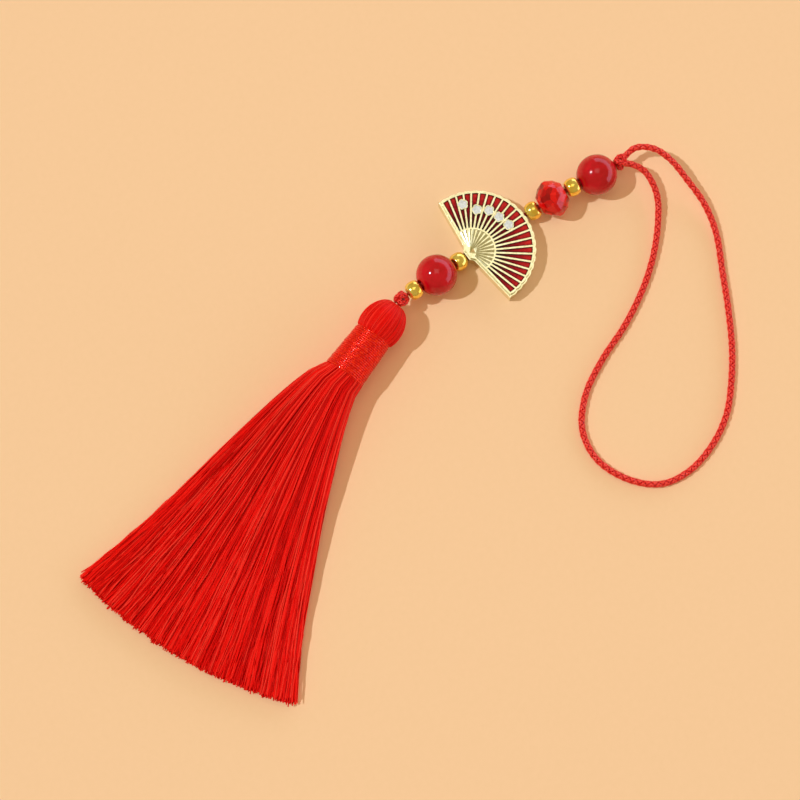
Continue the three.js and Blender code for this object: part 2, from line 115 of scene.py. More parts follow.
# Knots: shares of their size
KNOT_SIZE = 1.38 * MM
KNOT_CORD = 0.42
KNOT_RING = 0.5
KNOT_TUBE = 0.27
KNOT_STRETCH = 2.2
KNOT_HEART = 0.6
KNOT_STRAND_SHARE = 0.92

# Beads: half lengths and radii along their own axis
BORE_R = 0.95
BORE_LIP = 0.12
BORE_LIP_FLARE = (0.03, 0.04)
SPACER_STEPS = 56
SPACER = {"half": 1.3, "radius": 1.8, "face": 1.08, "bulge": 2.1}
BEAD_R = 3.9
BEAD_MOUTH_ROOM = 0.15
BEAD_ROWS = 40
BEAD_STEPS = 72
CRYSTAL_HALF = 2.75
CRYSTAL_ROWS = [(-2.75, 1.8), (-1.65, 2.95), (-0.35, 3.74), (0.35, 3.74), (1.65, 2.95), (2.75, 1.8)]
CRYSTAL_FACETS = 12
CRYSTAL_TURNED_ROWS = (1, 4)

# Fan charm
FAN_CENTRE_X = -5.76
CELL_INNER_R = 5.0
CELL_OUTER_R = 11.9
EDGE_ROUNDING = 0.05
FLAT_ANGLE = math.radians(1.5)
SHARP_ANGLE = math.radians(40)

# Tassel, along its own axis from the tassel knot
HEAD_START = 1.75
HEAD_LENGTH = 6.75
HEAD_R = 4.35
HEAD_TOP_R = 1.3
HEAD_DRAW_IN = 1.42
HEAD_TOP_SHARE = 0.015
HEAD_CORE_DEPTH = 0.22
HEAD_THREAD_DEPTH = 0.14
HEAD_ROWS = 24
HEAD_THREAD_STEPS = 18
HEAD_ANGLE_SPREAD = 0.008
HEAD_LEAN_SPREAD = 0.03
HEAD_LIFT = 0.03
HEAD_CORE_GAP = 0.25
HEAD_THREADS = 560
HEAD_THREAD_R = 0.065
WRAP_START = 8.75
WRAP_END = 18.3
WRAP_R0 = 3.75
WRAP_R1 = 4.15
WRAP_TURNS = 23
WRAP_STEPS_A_TURN = 48
WRAP_THREAD_R = 0.235
WRAP_THREAD_DEPTH = 0.22
WRAP_WOBBLE = 0.025
WRAP_BLUR = 12
SLEEVE_OUTER_DEPTH = 0.25
SLEEVE_INNER_DEPTH = 0.6
BUNDLE_R = 2.9
SKIRT_YAW = math.radians(6.3)
SKIRT_LENGTH = 59.9
SKIRT_MOUTH_HALF = 4.1
SKIRT_END_HALF = 23.5
SKIRT_BEND = 1.6
SKIRT_WAIST = 0.95
SKIRT_MOUTH_Z = 4.4
SKIRT_END_THICKNESS = 2.2
LOCK_COUNT = 7
LOCK_THREADS = 460
THREAD_R = 0.12
THREAD_STEPS = 20
BUNCHES_A_SIDE = 26
BUNCH_PULL = 0.3
BUNCH_BLUR = 0.3
THREAD_SWAY = (0.009, 0.008, 0.1)
THREAD_WAVE = 0.28
THREAD_WAVE_COUNT = (1.5, 4.5)
THREAD_END_SPREAD = 0.3
THREAD_SHORT_SHARE = 0.8
SKIRT_EDGE_LIMIT = 1.03
SKIRT_CURVE_LIMIT = 0.96
SKIRT_FILL = 0.98
SKIRT_TUCK = 0.4
SKIRT_TABLE_GAP = 0.05
SILK_STOPS = [(0.0, "c40201"), (0.3, "ee0906"), (0.7, "ff150c"), (1.0, "ff4030")]


# ---------------------------------------------------------------- materials


def colour(hex_value):
    """An sRGB hex colour as linear RGBA."""
    parts = [int(hex_value[i : i + 2], 16) / 255 for i in (0, 2, 4)]
    return [p / 12.92 if p <= 0.04045 else ((p + 0.055) / 1.055) ** 2.4 for p in parts] + [1.0]


def per_mm(size):
    """Texture scale whose pattern repeats about every size millimetres."""
    return 1.0 / (size * MM)


def add_node(tree, kind, settings=None, inputs=None, links=None):
    """A node with its settings, its input values and its inputs' links."""
    node = tree.nodes.new(kind)
    for name, value in (settings or {}).items():
        setattr(node, name, value)
    for name, value in (inputs or {}).items():
        node.inputs[name].default_value = value
    for name, socket in (links or {}).items():
        tree.links.new(socket, node.inputs[name])
    return node


def new_material(name, **inputs):
    """A Principled material, and its tree and shader."""
    material = bpy.data.materials.new(name)
    material.use_nodes = True
    tree = material.node_tree
    shader = tree.nodes["Principled BSDF"]
    for key, value in inputs.items():
        shader.inputs[key.replace("_", " ")].default_value = value
    return material, tree, shader


def object_position(tree, centre=(0, 0, 0)):
    """Object coordinates measured from centre."""
    position = add_node(tree, "ShaderNodeTexCoord").outputs["Object"]
    mapping = add_node(
        tree, "ShaderNodeMapping", {"vector_type": "TEXTURE"},
        {"Location": centre}, {"Vector": position},
    )
    return mapping.outputs["Vector"]


def ramp(tree, factor, stops):
    """A colour ramp through (position, hex) stops."""
    node = add_node(tree, "ShaderNodeValToRGB", links={"Fac": factor})
    elements = node.color_ramp.elements
    while len(elements) < len(stops):
        elements.new(1.0)
    for element, (place, hex_value) in zip(elements, stops):
        element.position = place
        element.color = colour(hex_value)
    return node.outputs["Color"]


def noise(tree, size, detail=3.0):
    """Noise whose blobs are about size millimetres across."""
    return add_node(
        tree, "ShaderNodeTexNoise", inputs={"Scale": per_mm(size), "Detail": detail, "Roughness": NOISE_ROUGHNESS},
        links={"Vector": object_position(tree)},
    ).outputs["Fac"]


def bump(tree, shader, height, distance, strength=1.0):
    """Bump of that height in millimetres."""
    node = add_node(
        tree, "ShaderNodeBump", inputs={"Strength": strength, "Distance": distance * MM}, links={"Height": height}
    )
    tree.links.new(node.outputs["Normal"], shader.inputs["Normal"])


def island_tone(tree):
    """A random number for each separate thread."""
    return add_node(tree, "ShaderNodeNewGeometry").outputs["Random Per Island"]


def silk_thread(name, stops, roughness):
    """Silk floss, dyed: each thread takes its own tone and shines along its length."""
    material, tree, shader = new_material(name, Roughness=roughness, Specular_IOR_Level=0.45)
    shader.inputs["Specular Tint"].default_value = colour("ff7060")
    tree.links.new(ramp(tree, island_tone(tree), stops), shader.inputs["Base Color"])
    bump(tree, shader, noise(tree, 0.12), 0.03, 0.5)
    return material


def braid_yarn():
    """Braided polyester cord of satin yarns; its colour ramp paints shade down between the strands and a highlight on
    their tops.
    """
    material, tree, shader = new_material("braided_polyester", Roughness=0.32, Specular_IOR_Level=0.9)
    shader.inputs["Specular Tint"].default_value = colour("ffb0a0")
    depth = add_node(tree, "ShaderNodeAttribute", {"attribute_name": "depth"}).outputs["Fac"]
    # Painted shade and highlight: the darkest stop lies down between the strands and the brightest on their tops.
    stops = [(0.5, "720408"), (0.7, "d81216"), (0.88, "f4221e"), (1.0, "ff5242")]
    tree.links.new(ramp(tree, depth, stops), shader.inputs["Base Color"])
    bump(tree, shader, noise(tree, 0.08), 0.03, 0.6)
    return material


def core_yarn():
    """Twisted polyester thread, the same dye as the loop."""
    material, tree, shader = new_material("twisted_polyester", Roughness=0.5)
    tree.links.new(ramp(tree, noise(tree, 0.3), [(0.3, "a80c12"), (0.7, "d8201c")]), shader.inputs["Base Color"])
    bump(tree, shader, noise(tree, 0.08), 0.03, 0.6)
    return material


def metallic_floss():
    """Wound satin floss with a lurex glint, uneven in tone from place to place."""
    material, tree, shader = new_material(
        "wound_satin_floss", Roughness=0.24, Metallic=0.45, Specular_IOR_Level=0.6, Coat_Weight=0.25,
        Coat_Roughness=0.1,
    )
    shader.inputs["Specular Tint"].default_value = colour("ff9080")
    fleck = noise(tree, 0.5)
    stops = [(0.35, "e0120a"), (0.55, "fa2208"), (0.72, "ff400e")]
    tree.links.new(ramp(tree, fleck, stops), shader.inputs["Base Color"])
    bump(tree, shader, noise(tree, 0.3), 0.1, 0.8)
    return material


def cast_pale_gold():
    """Cast zinc alloy, plated pale champagne gold: bright on the ribs, faintly pitted in the hollows."""
    material, tree, shader = new_material("cast_champagne_gold", Metallic=1.0)
    tone = noise(tree, 0.9, 4.0)
    tree.links.new(ramp(tree, tone, [(0.3, "dcd6aa"), (0.7, "f6f0d0")]), shader.inputs["Base Color"])
    rough = add_node(
        tree, "ShaderNodeMapRange", inputs={"To Min": 0.14, "To Max": 0.3}, links={"Value": noise(tree, 0.4, 3.0)}
    )
    tree.links.new(rough.outputs["Result"], shader.inputs["Roughness"])
    bump(tree, shader, noise(tree, 0.35, 3.0), 0.02, 0.35)
    return material


def polished_gold():
    """Brass beads, gold plated and polished: a mirror with faint tumbling marks."""
    material, tree, shader = new_material("polished_gold_plate", Metallic=0.85)
    tone = noise(tree, 1.6, 2.0)
    tree.links.new(ramp(tree, tone, [(0.3, "ffcc48"), (0.7, "ffe67c")]), shader.inputs["Base Color"])
    rough = add_node(
        tree, "ShaderNodeMapRange", inputs={"To Min": 0.08, "To Max": 0.2}, links={"Value": noise(tree, 0.3, 2.0)}
    )
    tree.links.new(rough.outputs["Result"], shader.inputs["Roughness"])
    bump(tree, shader, noise(tree, 0.25, 2.0), 0.008, 0.3)
    return material


def red_glass():
    """Lampworked glass: deep red all through, fire-polished, with faint swirls of tone."""
    material, tree, shader = new_material("red_lampwork_glass", Roughness=0.08, IOR=1.45)
    swirl = noise(tree, 3.0, 2.0)
    tree.links.new(ramp(tree, swirl, [(0.3, "b0000c"), (0.7, "d2061c")]), shader.inputs["Base Color"])
    bump(tree, shader, noise(tree, 1.5, 1.0), 0.01, 0.2)
    return material


def cut_crystal():
    """Cut lead crystal, dyed red and polished, with cells of painted reflection like those the far facets send back."""
    material, tree, shader = new_material("red_cut_crystal", Roughness=0.03, IOR=1.45, Transmission_Weight=0.15)
    facet_reflection_cells = add_node(
        tree, "ShaderNodeTexVoronoi", {"feature": "F1"}, {"Scale": per_mm(1.2)}, {"Vector": object_position(tree)}
    ).outputs["Color"]
    # Painted reflection: each cell takes its own tone from dark to bright red, standing in for light the far facets
    # send back.
    stops = [(0.15, "a40006"), (0.4, "e0040a"), (0.6, "fa0e0c"), (0.8, "ff2a20")]
    tree.links.new(ramp(tree, facet_reflection_cells, stops), shader.inputs["Base Color"])
    return material


def vitreous_enamel():
    """Translucent red enamel fired into each cell: darker towards the pivot and lighter towards the rim, with painted
    shade beside the ribs.
    """
    material, tree, shader = new_material(
        "translucent_red_enamel", Roughness=0.22, IOR=1.5, Specular_IOR_Level=0.1
    )
    middle = fan_matrix() @ (Vector((FAN_CENTRE_X, 0, 0)) * MM)
    offset = object_position(tree, centre=tuple(middle))
    distance = add_node(tree, "ShaderNodeVectorMath", {"operation": "LENGTH"}, links={0: offset}).outputs["Value"]
    reach = add_node(
        tree, "ShaderNodeMapRange",
        inputs={"From Min": CELL_INNER_R * MM, "From Max": CELL_OUTER_R * MM}, links={"Value": distance},
    ).outputs["Result"]
    cloud = noise(tree, 0.55, 3.0)
    # The enamel's tone follows only the distance from the pivot mixed with a cloud: darker towards the pivot, lighter
    # towards the rim.
    depth = add_node(tree, "ShaderNodeMix", {"data_type": "FLOAT"}, {"Factor": 0.45}, {2: reach, 3: cloud})
    stops = [(0.2, "3a0008"), (0.42, "74020e"), (0.62, "a40816"), (0.85, "dc2a22")]
    # Painted shade: ambient occlusion darkens the enamel's colour close to the ribs that stand above it.
    rib_shade_ao = add_node(tree, "ShaderNodeAmbientOcclusion", inputs={"Distance": 0.5 * MM}).outputs["AO"]
    shade = add_node(
        tree, "ShaderNodeMapRange", inputs={"From Min": 0.68, "From Max": 0.99, "To Min": 0.03},
        links={"Value": rib_shade_ao},
    ).outputs["Result"]
    colour_with_rib_shade = add_node(
        tree, "ShaderNodeMix", {"data_type": "RGBA", "blend_type": "MULTIPLY"}, {"Factor": 1.0},
        {6: ramp(tree, depth.outputs[0], stops), 7: shade},
    )
    tree.links.new(colour_with_rib_shade.outputs[2], shader.inputs["Base Color"])
    bump(tree, shader, noise(tree, 0.7, 2.0), 0.05, 0.6)
    return material


def pearl_enamel():
    """Opaque pearl-white enamel: cool grey-white with a soft gloss."""
    material, tree, shader = new_material(
        "pearl_white_enamel", Roughness=0.2, IOR=1.5, Coat_Weight=0.6, Coat_Roughness=0.1
    )
    tree.links.new(
        ramp(tree, noise(tree, 0.5, 3.0), [(0.3, "c9c7c4"), (0.7, "efeeec")]), shader.inputs["Base Color"]
    )
    bump(tree, shader, noise(tree, 0.4, 2.0), 0.03, 0.5)
    return material


def peach_paper():
    """Matt coated paper in pale peach, with a barely visible tooth."""
    material, tree, shader = new_material("peach_paper", Roughness=0.75)
    tooth = noise(tree, 1.2, 3.0)
    tree.links.new(ramp(tree, tooth, [(0.2, "fdcb9c"), (0.8, "ffcd9f")]), shader.inputs["Base Color"])
    return material


# ---------------------------------------------------------------- places


def turned_to(origin, direction):
    """A place whose X axis runs along direction and whose Y axis lies level."""
    x = Vector(direction).normalized()
    y = Vector((0, 0, 1)).cross(x).normalized()
    z = x.cross(y)
    rotation = Matrix((x, y, z)).transposed().to_4x4()
    return Matrix.Translation(Vector(origin)) @ rotation


def level(direction):
    """The direction with its rise taken out."""
    return Vector((direction[0], direction[1], 0)).normalized()


def bead_matrix(joint):
    return turned_to(JOINTS[joint]["pos_m"], JOINTS[joint]["axis"])


def fan_matrix():
    return turned_to((0, 0, 0), level(JOINTS["fan_spin"]["axis"]))


def string_matrix(bend, bead):
    """Where a string leaves the fan, at table height, running along its beads."""
    start = Vector(JOINTS[bend]["pos_m"])
    start.z = 0
    return turned_to(start, level(JOINTS[bead]["axis"]))


def tassel_matrix():
    """The tassel knot's centre, with X down the tassel."""
    side = JOINTS["tassel_lift"]["axis"]
    return turned_to(JOINTS["tassel_lift"]["pos_m"], (-side[1], side[0], 0))


# ---------------------------------------------------------------- shapes


def finish_piece(obj, body, material, slot, *nodes):
    """Gives a new piece its finish and its body, and hides the CAD nodes it stands for."""
    obj.data.materials.clear()
    obj.data.materials.append(material)
    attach(obj, body)
    if nodes:
        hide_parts(*nodes)
    return obj


def mesh_object(name, bm, smooth=True):
    """A new object from a bmesh."""
    mesh = bpy.data.meshes.new(name)
    for face in bm.faces:
        face.smooth = smooth
    bm.to_mesh(mesh)
    bm.free()
    obj = bpy.data.objects.new(name, mesh)
    bpy.context.scene.collection.objects.link(obj)
    return obj


def spun(profile, steps):
    """A bmesh of [distance along X, radius] in millimetres turned about the X axis and closed."""
    bm = bmesh.new()
    points = [bm.verts.new((x * MM, 0, r * MM)) for x, r in profile]
    edges = [bm.edges.new(pair) for pair in zip(points, points[1:])]
    if profile[0][1] > 0:
        edges.append(bm.edges.new((points[-1], points[0])))
    bmesh.ops.spin(
        bm, geom=points + edges, cent=(0, 0, 0), axis=(1, 0, 0), angle=math.tau, steps=steps, use_merge=True
    )
    bmesh.ops.remove_doubles(bm, verts=bm.verts, dist=1e-7)
    bmesh.ops.recalc_face_normals(bm, faces=bm.faces)
    return bm


def tubes(name, lines, radius, roundness=0):
    """Tubes along many lines of points in metres, as one mesh."""
    curve = bpy.data.curves.new(name, "CURVE")
    curve.dimensions = "3D"
    curve.bevel_depth = radius
    curve.bevel_resolution = roundness
    curve.use_fill_caps = True
    for line in lines:
        line = np.asarray(line)
        spline = curve.splines.new("POLY")
        spline.points.add(len(line) - 1)
        spline.points.foreach_set("co", np.c_[line, np.ones(len(line))].ravel())
    source = bpy.data.objects.new(name, curve)
    mesh = bpy.data.meshes.new_from_object(source)
    bpy.data.objects.remove(source)
    bpy.data.curves.remove(curve)
    mesh.name = name
    mesh.shade_smooth()
    obj = bpy.data.objects.new(name, mesh)
    bpy.context.scene.collection.objects.link(obj)
    return obj


def smooth_path(points, spacing):
    """Points every spacing metres along a centripetal Catmull-Rom curve through points in metres."""
    p = np.asarray(points, float)
    p = np.vstack([2 * p[0] - p[1], p, 2 * p[-1] - p[-2]])
    fine = []
    for a, b, c, d in zip(p, p[1:], p[2:], p[3:]):
        before, here, after = (max(np.linalg.norm(v) ** 0.5, 1e-6) for v in (b - a, c - b, d - c))
        m0 = ((b - a) / before - (c - a) / (before + here) + (c - b) / here) * here
        m1 = ((c - b) / here - (d - b) / (here + after) + (d - c) / after) * here
        t = np.linspace(0, 1, 60, endpoint=False)[:, None]
        fine.append(
            (2 * t**3 - 3 * t**2 + 1) * b + (t**3 - 2 * t**2 + t) * m0
            + (3 * t**2 - 2 * t**3) * c + (t**3 - t**2) * m1
        )
    fine = np.vstack(fine + [p[-2:-1]])
    run = np.r_[0, np.cumsum(np.linalg.norm(np.diff(fine, axis=0), axis=1))]
    even = np.linspace(0, run[-1], max(2, round(run[-1] / spacing) + 1))
    return np.column_stack([np.interp(even, run, fine[:, k]) for k in range(3)])


def carried_frames(path):
    """Two cross directions at each point of a path, carried along without twisting."""
    along = np.gradient(path, axis=0)
    along /= np.linalg.norm(along, axis=1)[:, None]
    first = np.cross(along[0], (0.0, 0.0, 1.0))
    if np.linalg.norm(first) < 0.1:
        first = np.cross(along[0], (0.0, 1.0, 0.0))
    across = [first / np.linalg.norm(first)]
    for t in along[1:]:
        n = across[-1] - t * np.dot(across[-1], t)
        across.append(n / np.linalg.norm(n))
    across = np.array(across)
    return across, np.cross(along, across)


def around(path, angle, radius):
    """A line that runs beside path at those angles and radii."""
    across, other = carried_frames(path)
    return path + radius[:, None] * (np.cos(angle)[:, None] * across + np.sin(angle)[:, None] * other)


def braid(path, cord_r):
    """Eight strands, four each way round, each passing over and under the others."""
    turns = np.arange(len(path)) / BRAID_STEPS_A_TURN * math.tau
    swing = BRAID_SWING * cord_r
    middle = cord_r - BRAID_STRAND_R - 0.4 * swing
    lines = []
    for strand in range(BRAID_STRANDS):
        way = 1 if strand % 2 == 0 else -1
        start = math.tau * (strand // 2) / (BRAID_STRANDS // 2)
        weave = way * np.sin(turns * BRAID_STRANDS / 2 + way * 2 * start)
        lines.append(around(path, way * turns + start, middle + swing * weave))
    return lines


def mark_depth_for_painted_shading(obj, path, cord_r):
    """Keeps how near each point lies to the cord's middle, which the yarn's ramp turns into painted shade between the
    strands and a painted highlight on their tops.
    """
    tree = KDTree(len(path))
    for index, point in enumerate(path):
        tree.insert(point, index)
    tree.balance()
    depth = obj.data.attributes.new("depth", "FLOAT", "POINT")
    depth.data.foreach_set("value", [tree.find(v.co)[2] / cord_r for v in obj.data.vertices])


def plied(path, radius, plies, pitch):
    """Plies twisted together to a cord of that radius."""
    ply_r = radius * 0.5
    run = np.r_[0, np.cumsum(np.linalg.norm(np.diff(path, axis=0), axis=1))]
    return [
        around(path, run / pitch * math.tau + math.tau * k / plies, np.full(len(path), radius - ply_r))
        for k in range(plies)
    ], ply_r


def placed(obj, matrix):
    """Puts a piece's place into its mesh."""
    obj.data.transform(matrix)
    return obj


# ---------------------------------------------------------------- camera, light, floor


def make_camera():
    data = bpy.data.cameras.new("camera")
    data.lens = LENS_MM
    data.sensor_width = SENSOR_MM
    camera = bpy.data.objects.new("camera", data)
    bpy.context.scene.collection.objects.link(camera)
    back = Vector((0, 0, 1)) * math.sin(VIEW_ELEVATION) - VIEW_UP * math.cos(VIEW_ELEVATION)
    right = VIEW_RIGHT.normalized()
    up = back.cross(right)
    distance = VIEW_WIDTH * LENS_MM / SENSOR_MM
    camera.matrix_world = Matrix.Translation(VIEW_CENTRE + back * distance) @ Matrix(
        (right, up, back)
    ).transposed().to_4x4()
    data.clip_start, data.clip_end = CLIP_RANGE
    bpy.context.scene.camera = camera


def make_lights():
    sun = bpy.data.lights.new("key", "SUN")
    sun.energy = SUN_POWER
    sun.angle = SUN_SPREAD
    sun.color = SUN_COLOUR
    key = bpy.data.objects.new("key", sun)
    side = -VIEW_RIGHT.normalized()
    towards = side * math.cos(SUN_ELEVATION) + Vector((0, 0, 1)) * math.sin(SUN_ELEVATION)
    key.rotation_mode = "QUATERNION"
    key.rotation_quaternion = towards.to_track_quat("Z", "Y")
    bpy.context.scene.collection.objects.link(key)
    panel("overhead", VIEW_CENTRE + VIEW_UP * PANEL_SHIFT + Vector((0, 0, PANEL_HEIGHT)))
    bpy.context.scene.world = studio_world()


def studio_world():
    """A warm, even room, with one low pale wall on the side of the loop's far end."""
    world = bpy.data.worlds.new("studio")
    world.use_nodes = True
    tree = world.node_tree
    direction = add_node(tree, "ShaderNodeTexCoord").outputs["Generated"]
    height = add_node(tree, "ShaderNodeSeparateXYZ", links={"Vector": direction}).outputs["Z"]
    wall_side = VIEW_RIGHT * math.cos(WALL_TURN) + VIEW_UP * math.sin(WALL_TURN)
    facing = add_node(
        tree, "ShaderNodeVectorMath", {"operation": "DOT_PRODUCT"}, {1: wall_side}, {0: direction}
    ).outputs["Value"]
    beside = add_node(
        tree, "ShaderNodeMapRange", inputs={"From Min": WALL_EDGE[0], "From Max": WALL_EDGE[1]},
        links={"Value": facing},
    ).outputs["Result"]
    below = add_node(
        tree, "ShaderNodeMapRange", inputs={"From Min": WALL_TOP[0], "From Max": WALL_TOP[1]},
        links={"Value": height},
    ).outputs["Result"]
    wall = add_node(tree, "ShaderNodeMath", {"operation": "MULTIPLY"}, links={0: beside, 1: below}).outputs["Value"]
    room = ramp(tree, height, ROOM_STOPS)
    shade = add_node(
        tree, "ShaderNodeMix", {"data_type": "RGBA"}, {7: colour(WALL_COLOUR)}, {0: wall, 6: room}
    ).outputs[2]
    tree.links.new(shade, tree.nodes["Background"].inputs["Color"])
    tree.nodes["Background"].inputs["Strength"].default_value = ROOM_STRENGTH
    return world


def panel(name, place):
    """A square soft light that faces the middle of the pendant."""
    light = bpy.data.lights.new(name, "AREA")
    light.energy = PANEL_POWER
    light.size = PANEL_SIZE
    light.color = PANEL_COLOUR
    obj = bpy.data.objects.new(name, light)
    obj.location = place
    obj.rotation_mode = "QUATERNION"
    obj.rotation_quaternion = (place - VIEW_CENTRE).to_track_quat("Z", "Y")
    bpy.context.scene.collection.objects.link(obj)


def make_floor():
    bm = bmesh.new()
    bmesh.ops.create_grid(bm, x_segments=1, y_segments=1, size=FLOOR_HALF)
    floor = mesh_object("floor", bm, smooth=False)
    floor.data.materials.append(peach_paper())


# ---------------------------------------------------------------- the cord loop, the strings and the knots


def make_loop(yarn):
    points = np.array(LOOP_ROUTE) * MM
    path = smooth_path(points, BRAID_PITCH / BRAID_STEPS_A_TURN)
    obj = tubes("loop_braid", braid(path, LOOP_DIAMETER / 2), BRAID_STRAND_R)
    mark_depth_for_painted_shading(obj, path, LOOP_DIAMETER / 2)
    finish_piece(obj, "loop", yarn, "braided_cord", "hanging_loop")
    smooth_path(points, LOOP_ROW_SPACING).tolist()


def make_plied(name, body, node, matrix, points, radius, material):
    """One stretch of twisted core cord."""
    path = smooth_path([matrix @ (Vector(p) * MM) for p in points], CORE_SPACING)
    lines, ply_r = plied(path, radius, CORE_PLIES, CORE_PITCH)
    obj = tubes(name, lines, ply_r, roundness=1)
    return finish_piece(obj, body, material, "core_cord", node)


def make_strings(yarn):
    upper = string_matrix("upper_bend", "spacer_1_spin")
    lower = string_matrix("lower_bend", "spacer_4_spin")
    raised = [(x, 0, z) for x, z in UPPER_ROUTE]
    make_plied("upper_string", "upper_string", "string_cord_upper", upper, raised, CORE_R, yarn)
    raised = [(x, 0, z) for x, z in LOWER_ROUTE]
    make_plied("lower_string", "lower_string", "string_cord_lower", lower, raised, CORE_R, yarn)
    height = JOINTS["fan_spin"]["pos_m"][2] / MM
    through = [(-MIDDLE_REACH, 0, height), (0, 0, height), (MIDDLE_REACH, 0, height)]
    make_plied("middle_string", "charm_cord", "string_cord_middle", fan_matrix(), through, CORE_R, yarn)
    neck = [(x, 0, z) for x, z in NECK_ROUTE]
    make_plied("neck_string", "tassel", "tassel_neck_cord", tassel_matrix(), neck, NECK_R, yarn)


def knot_line(ring, tube, spacing):
    """A tight overhand knot's centre line, wound round the X axis, in metres."""
    t = np.linspace(0, math.tau, 240)
    radius = ring + tube * np.cos(3 * t)
    line = np.column_stack([KNOT_STRETCH * tube * np.sin(3 * t), radius * np.cos(2 * t), radius * np.sin(2 * t)])
    return smooth_path(line, spacing)


def make_knot(name, body, node, matrix, size, yarn):
    """An overhand knot drawn tight in the braided cord, with a small heart inside that shows in the braid's darkest,
    painted-shade colour.
    """
    cord_r = size * KNOT_CORD
    line = knot_line(size * KNOT_RING, size * KNOT_TUBE, BRAID_PITCH / BRAID_STEPS_A_TURN)
    obj = tubes(name, braid(line, cord_r), BRAID_STRAND_R * KNOT_STRAND_SHARE)
    mark_depth_for_painted_shading(obj, line, cord_r)
    placed(obj, matrix)
    # The heart carries no depth attribute, so the yarn's ramp gives it its darkest stop: painted shade inside the knot.
    bm = bmesh.new()
    bmesh.ops.create_uvsphere(bm, u_segments=24, v_segments=16, radius=size * KNOT_HEART)
    heart = placed(mesh_object(f"{name}_heart", bm), matrix)
    finish_piece(heart, body, yarn, "braided_cord", node)
    return finish_piece(obj, body, yarn, "braided_cord")


# ---------------------------------------------------------------- beads


def barrel(half, radius, face, bulge, steps=28):
    """Bead outline: flat end faces, a rounded side, and the bore's wall with its rounded lips."""
    inward, outward = BORE_LIP_FLARE
    outline = [(-half + BORE_LIP, BORE_R), (-half + inward, BORE_R + outward), (-half, BORE_R + BORE_LIP)]
    for i in range(steps + 1):
        t = -1 + 2 * i / steps
        outline.append((half * t, face + (radius - face) * (1 - abs(t) ** bulge) ** (1 / bulge)))
    outline += [(half, BORE_R + BORE_LIP), (half - inward, BORE_R + outward), (half - BORE_LIP, BORE_R)]
    return outline


def make_spacers(gold):
    for number in (1, 2, 3, 4):
        bm = spun(barrel(**SPACER), SPACER_STEPS)
        obj = placed(mesh_object(f"gold_spacer_{number}", bm), bead_matrix(f"spacer_{number}_spin"))
        finish_piece(obj, f"spacer_{number}", gold, "bright_gold", f"spacer_bead_{number}")


def make_round_beads(glass):
    mouth = math.asin((BORE_R + BEAD_MOUTH_ROOM) / BEAD_R)
    for side in ("upper", "lower"):
        outline = []
        for i in range(BEAD_ROWS + 1):
            angle = math.pi - mouth + (2 * mouth - math.pi) * i / BEAD_ROWS
            outline.append((BEAD_R * math.cos(angle), BEAD_R * math.sin(angle)))
        end = outline[-1][0]
        outline = [(-end + BORE_LIP, BORE_R), *outline, (end - BORE_LIP, BORE_R)]
        bm = spun(outline, BEAD_STEPS)
        obj = placed(mesh_object(f"{side}_glass_bead", bm), bead_matrix(f"{side}_bead_spin"))
        finish_piece(obj, f"{side}_bead", glass, "red_glass", f"{side}_red_bead")


def make_crystal(crystal):
    """A rondelle whose rows of corners stand half a step apart, so its sides break into kites."""
    outline = [(-CRYSTAL_HALF, BORE_R), *CRYSTAL_ROWS, (CRYSTAL_HALF, BORE_R)]
    bm = spun(outline, CRYSTAL_FACETS)
    half_step = math.pi / CRYSTAL_FACETS
    turned_rows = {CRYSTAL_ROWS[row][0] for row in CRYSTAL_TURNED_ROWS}
    moved = [v for v in bm.verts if any(abs(v.co.x / MM - x) < 1e-3 for x in turned_rows)]
    bmesh.ops.rotate(bm, verts=moved, cent=(0, 0, 0), matrix=Matrix.Rotation(half_step, 3, "X"))
    bmesh.ops.triangulate(bm, faces=bm.faces)
    bmesh.ops.recalc_face_normals(bm, faces=bm.faces)
    obj = placed(mesh_object("crystal_rondelle", bm, smooth=False), bead_matrix("crystal_spin"))
    finish_piece(obj, "crystal", crystal, "crystal_glass", "crystal_bead")


# ---------------------------------------------------------------- fan charm


def make_fan(gold, red, white):
    """The casting with its edges rounded; the enamels are the CAD's own nodes with their finish."""
    bm = bmesh.new()
    bm.from_mesh(frame["nodes"]["fan_frame"].data)
    bmesh.ops.remove_doubles(bm, verts=bm.verts, dist=2e-6)
    bmesh.ops.dissolve_limit(bm, angle_limit=FLAT_ANGLE, verts=bm.verts, edges=bm.edges)
    sharp = [e for e in bm.edges if len(e.link_faces) == 2 and e.calc_face_angle(0) > SHARP_ANGLE]
    bmesh.ops.bevel(
        bm, geom=sharp, offset=EDGE_ROUNDING * MM, segments=2, profile=0.5, affect="EDGES", material=-1,
        clamp_overlap=True,
    )
    obj = mesh_object("fan_casting", bm, smooth=False)
    finish_piece(obj, "fan", gold, "pale_gold", "fan_frame")
    for name, node in frame["nodes"].items():
        if name.startswith("enamel_"):
            dress_node(node, red)
        elif name.startswith("blossom_"):
            dress_node(node, white)


def dress_node(node, material):
    """Gives a CAD node shown as it is its finished material."""
    for slot in node.material_slots:
        slot.material = material


# ---------------------------------------------------------------- tassel


def head_radius(t):
    """Radius of the folded dome at a share of its length: round over the top, drawn in at the wrap."""
    swell = math.sin(math.pi * (t / HEAD_DRAW_IN + HEAD_TOP_SHARE)) ** 0.5
    return HEAD_TOP_R + (HEAD_R - HEAD_TOP_R) * swell


